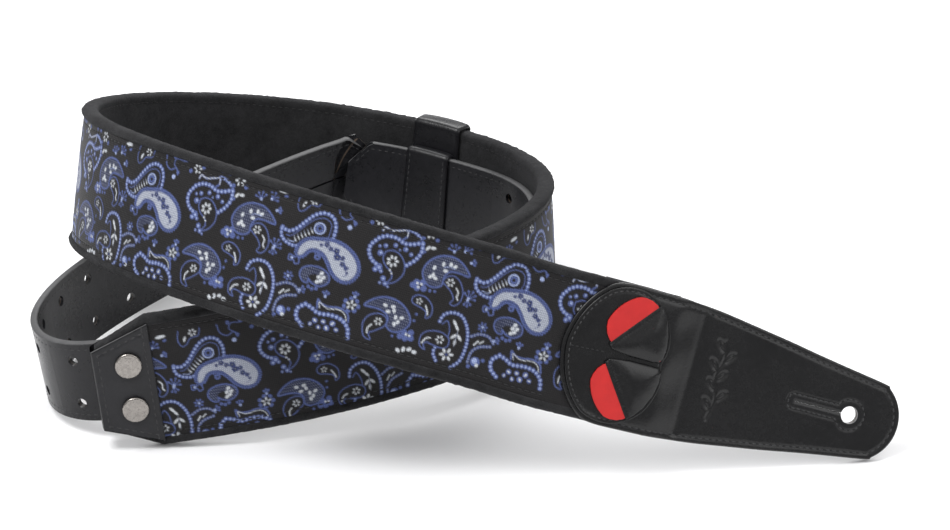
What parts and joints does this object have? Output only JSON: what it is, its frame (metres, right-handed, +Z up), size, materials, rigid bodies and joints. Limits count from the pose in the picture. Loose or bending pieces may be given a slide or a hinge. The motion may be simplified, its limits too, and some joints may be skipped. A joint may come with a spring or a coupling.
{
  "type": "guitar strap",
  "caption": "Padded guitar strap coiled on its edge: patterned woven face with suede edges, stitched leather tab with pick pockets, stud-fixed leather tail with hole rows, and leather keeper.",
  "frame": {"origin": "Centre of the strap's footprint on the surface it stands on; the strap stands coiled on its long edges.", "axes": "+X along the front run towards the leather tab, +Y from the front run to the back of the coil, +Z up."},
  "size_m": [0.3848, 0.2556, 0.1308],
  "materials": {
    "woven_cloth": "jacquard-woven cloth, charcoal ground with blue, pale blue and navy paisley motifs",
    "padding": "soft foam padding, hidden inside",
    "webbing": "black load-bearing webbing, hidden inside",
    "suede": "charcoal suede with a short nap, rolled round both edges",
    "tab_leather": "smooth black leather with a soft gloss and fine grain, stitched",
    "tail_leather": "matte dark grey-black leather with paler cut edges, stitched",
    "keeper_leather": "black leather with a soft gloss, stitched",
    "stiffener_board": "stiff bonded-leather board, hidden inside",
    "pick_plastic": "glossy red celluloid",
    "nickel": "polished nickel plate"
  },
  "bodies": {
    "strap": {"fabric_face": "woven_cloth", "foam_pad": "padding", "webbing_core": "webbing", "suede_lining": "suede", "tab_front_leather": "tab_leather", "tab_stiffener": "stiffener_board", "tab_back_leather": "tab_leather", "pick_patch_base": "tab_leather", "upper_pick_pocket": "tab_leather", "lower_pick_pocket": "tab_leather", "end_cap_front": "tab_leather", "end_cap_back": "tab_leather", "tail_outer_leather": "tail_leather", "tail_core": "stiffener_board", "tail_inner_leather": "tail_leather"},
    "pick_upper": {"pick_upper": "pick_plastic"},
    "pick_lower": {"pick_lower": "pick_plastic"},
    "stud_upper": {"stud_upper": "nickel"},
    "stud_lower": {"stud_lower": "nickel"},
    "screw_upper": {"stud_screw_upper": "nickel"},
    "screw_lower": {"stud_screw_lower": "nickel"},
    "keeper": {"keeper_loop": "keeper_leather", "keeper_sleeve": "keeper_leather"}
  },
  "joints": [
    {"name": "pick_upper_slide", "type": "slide", "parent": "strap", "child": "pick_upper", "axis": [-0.5391, 0.2256, 0.8115], "range_m": [0, 0.022]},
    {"name": "pick_lower_slide", "type": "slide", "parent": "strap", "child": "pick_lower", "axis": [-0.9394, -0.232, -0.2525], "range_m": [0, 0.022]},
    {"name": "stud_upper_turn", "type": "hinge", "parent": "strap", "child": "stud_upper", "pos_m": [-0.1488, -0.07949, 0.04129], "axis": [0.0309, -0.9971, 0.0691], "range_deg": [0, 1440]},
    {"name": "stud_lower_turn", "type": "hinge", "parent": "strap", "child": "stud_lower", "pos_m": [-0.14613, -0.08089, 0.0199], "axis": [0.0309, -0.9971, 0.0691], "range_deg": [0, 1440]},
    {"name": "screw_upper_out", "type": "slide", "parent": "strap", "child": "screw_upper", "axis": [-0.0309, 0.9971, -0.0691], "range_m": [0, 0.0025]},
    {"name": "screw_lower_out", "type": "slide", "parent": "strap", "child": "screw_lower", "axis": [-0.0309, 0.9971, -0.0691], "range_m": [0, 0.0025]},
    {"name": "keeper_slide", "type": "hinge", "parent": "strap", "child": "keeper", "pos_m": [-0.07704, -0.02528, 0.05935], "axis": [0.0862, 0.1473, 0.9853], "range_deg": [-0.8, 0.25]}
  ]
}
